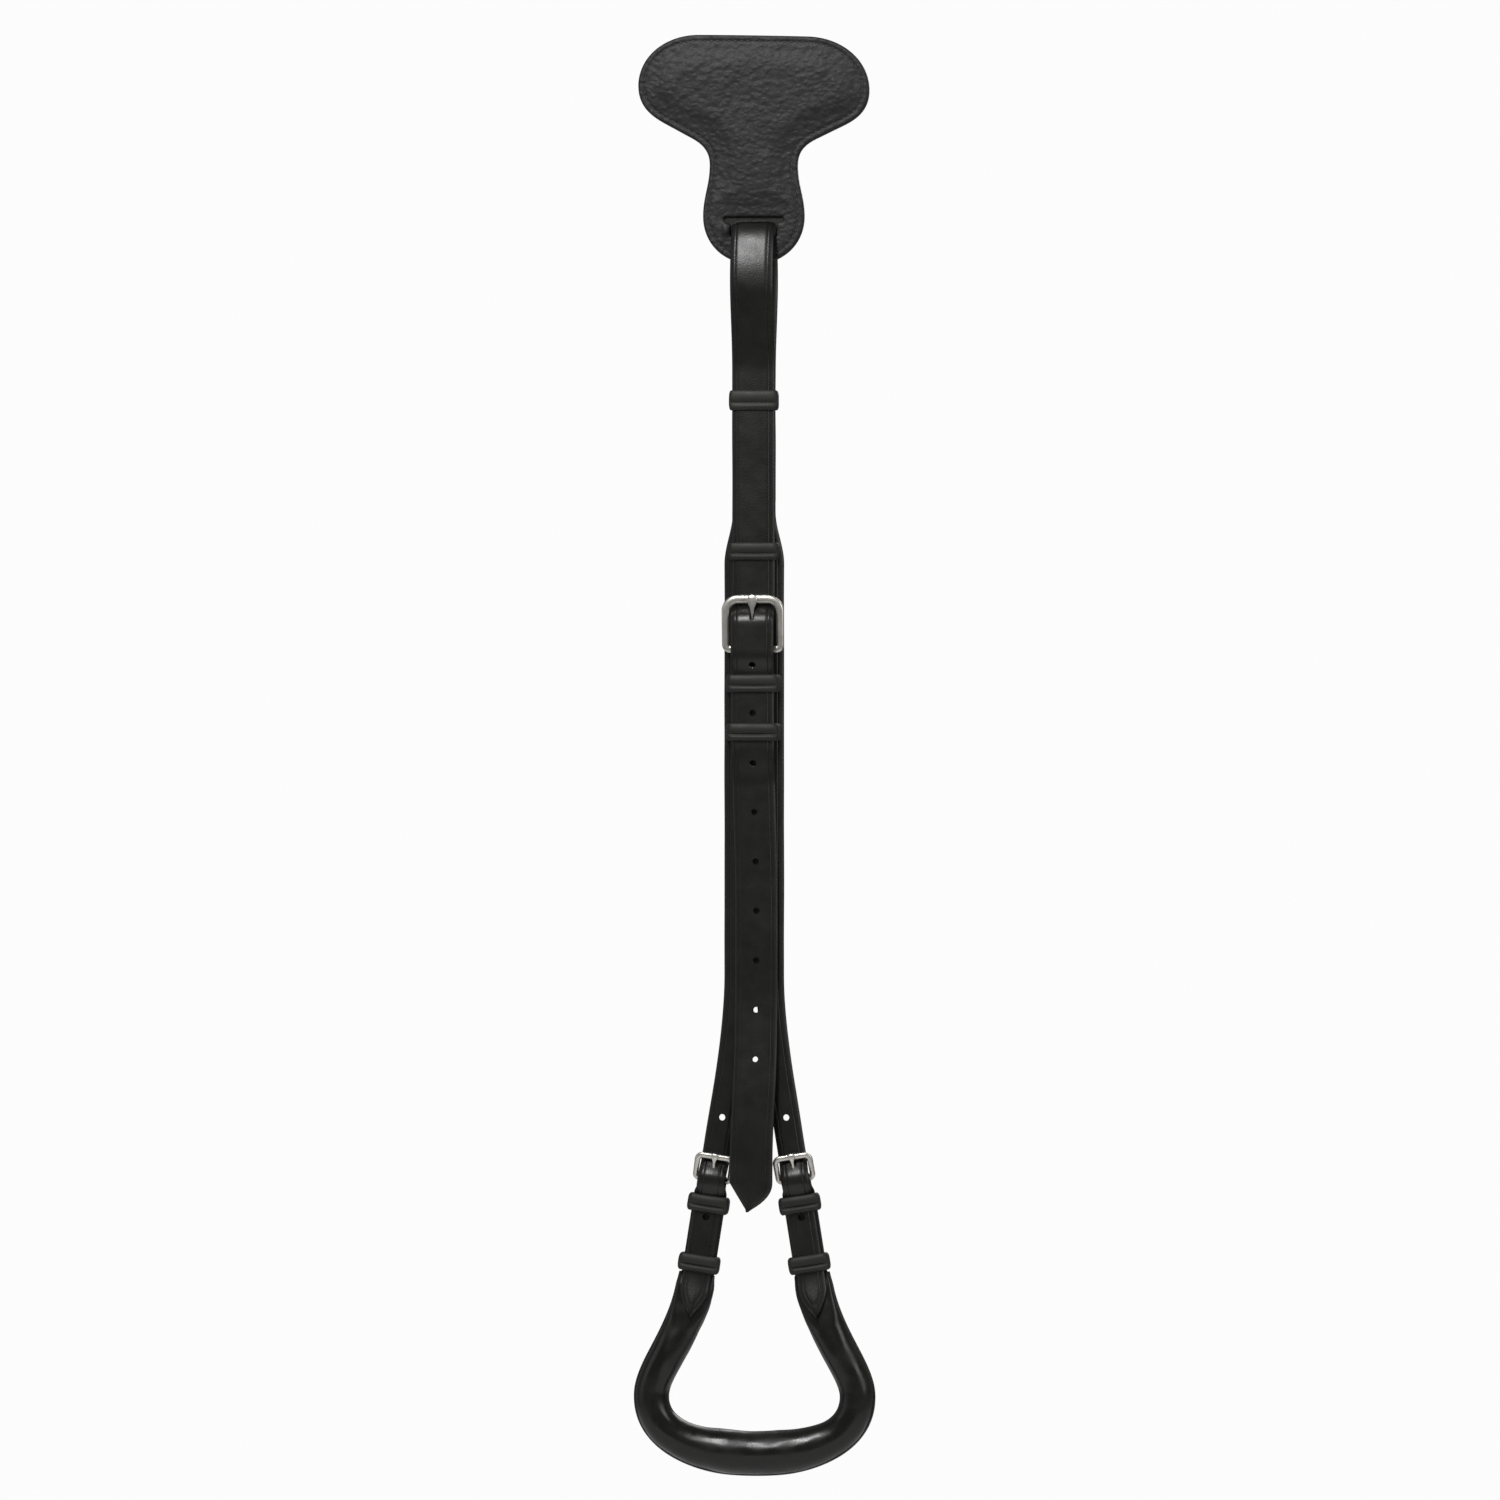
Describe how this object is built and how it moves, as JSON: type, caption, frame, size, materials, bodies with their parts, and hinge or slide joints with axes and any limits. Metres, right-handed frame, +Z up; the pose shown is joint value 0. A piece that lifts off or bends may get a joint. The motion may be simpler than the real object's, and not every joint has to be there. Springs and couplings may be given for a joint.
{
  "type": "saddle crupper",
  "caption": "Leather saddle crupper: a T-shaped pad, a looped back strap with a buckle and a forked end, and a stuffed tail loop on two buckled straps.",
  "frame": {"origin": "on the back of the T pad, in the middle of its head", "axes": "+Z up the strap, from the tail loop to the T pad; +Y out of the back, the side that lies on the horse; +X across the strap"},
  "size_m": [0.1212, 0.0284, 0.7281],
  "materials": {
    "black_leather": "smooth black bridle leather, satin",
    "grain_leather": "pebbled black leather, low sheen",
    "rolled_leather": "glossy black rolled leather",
    "nickel": "polished nickel plate, a little warm",
    "plate_steel": "plain pressed steel",
    "filling": "packed flax"
  },
  "bodies": {
    "t_pad": {"t_pad_cover": "grain_leather", "t_plate": "plate_steel", "t_pad_lining": "black_leather"},
    "loop": {"strap_loop": "black_leather"},
    "runner": {"runner_keeper": "black_leather"},
    "strap": {"fork_strap": "black_leather", "billet_upper": "black_leather", "buckle_chape": "black_leather", "keeper_above_buckle": "black_leather", "fixed_keeper_upper": "black_leather", "fixed_keeper_lower": "black_leather"},
    "main_buckle": {"main_buckle_frame": "nickel"},
    "main_prong": {"main_buckle_prong": "nickel"},
    "billet_end": {"billet_end": "black_leather"},
    "dock": {"tail_end_left": "black_leather", "tail_end_right": "black_leather", "dock_strap_left": "black_leather", "dock_strap_right": "black_leather", "side_keeper_left": "black_leather", "side_keeper_right": "black_leather", "dock_cover": "rolled_leather", "dock_filling": "filling"},
    "left_buckle": {"side_buckle_frame_left": "nickel"},
    "left_prong": {"side_buckle_prong_left": "nickel"},
    "left_runner": {"side_runner_left": "black_leather"},
    "right_buckle": {"side_buckle_frame_right": "nickel"},
    "right_prong": {"side_buckle_prong_right": "nickel"},
    "right_runner": {"side_runner_right": "black_leather"}
  },
  "joints": [
    {"name": "t_pad_swing", "type": "hinge", "parent": "t_pad", "child": "loop", "pos_m": [0, -0.003, -0.0813], "axis": [1, 0, 0], "range_deg": [-75, 75]},
    {"name": "runner_slide", "type": "slide", "parent": "loop", "child": "runner", "axis": [0, 0, 1], "range_m": [-0.026, 0.001]},
    {"name": "strap_bend", "type": "hinge", "parent": "loop", "child": "strap", "pos_m": [0, -0.003, -0.192], "axis": [1, 0, 0], "range_deg": [-45, 45]},
    {"name": "main_buckle_tilt", "type": "hinge", "parent": "strap", "child": "main_buckle", "pos_m": [0, -0.00695, -0.283], "axis": [1, 0, 0], "range_deg": [-1.5, 4]},
    {"name": "main_prong_lift", "type": "hinge", "parent": "main_buckle", "child": "main_prong", "pos_m": [0, -0.00695, -0.283], "axis": [1, 0, 0], "range_deg": [0, 4]},
    {"name": "billet_flap", "type": "hinge", "parent": "strap", "child": "billet_end", "pos_m": [0, -0.0087, -0.332], "axis": [-1, 0, 0], "range_deg": [0, 60]},
    {"name": "dock_swing", "type": "hinge", "parent": "strap", "child": "dock", "pos_m": [0, -0.00135, -0.53], "axis": [1, 0, 0], "range_deg": [0, 70]},
    {"name": "left_buckle_tilt", "type": "hinge", "parent": "dock", "child": "left_buckle", "pos_m": [-0.0213, -0.0016, -0.5515], "axis": [0.9877, 0, -0.1564], "range_deg": [-2, 2]},
    {"name": "left_prong_lift", "type": "hinge", "parent": "left_buckle", "child": "left_prong", "pos_m": [-0.0213, -0.0016, -0.5515], "axis": [0.9877, 0, -0.1564], "range_deg": [0, 4]},
    {"name": "left_runner_slide", "type": "slide", "parent": "dock", "child": "left_runner", "axis": [0.1564, 0, 0.9877], "range_m": [0, 0.02]},
    {"name": "right_buckle_tilt", "type": "hinge", "parent": "dock", "child": "right_buckle", "pos_m": [0.0213, -0.0016, -0.5515], "axis": [0.9877, 0, 0.1564], "range_deg": [-2, 2]},
    {"name": "right_prong_lift", "type": "hinge", "parent": "right_buckle", "child": "right_prong", "pos_m": [0.0213, -0.0016, -0.5515], "axis": [0.9877, 0, 0.1564], "range_deg": [0, 4]},
    {"name": "right_runner_slide", "type": "slide", "parent": "dock", "child": "right_runner", "axis": [-0.1564, 0, 0.9877], "range_m": [0, 0.02]}
  ]
}
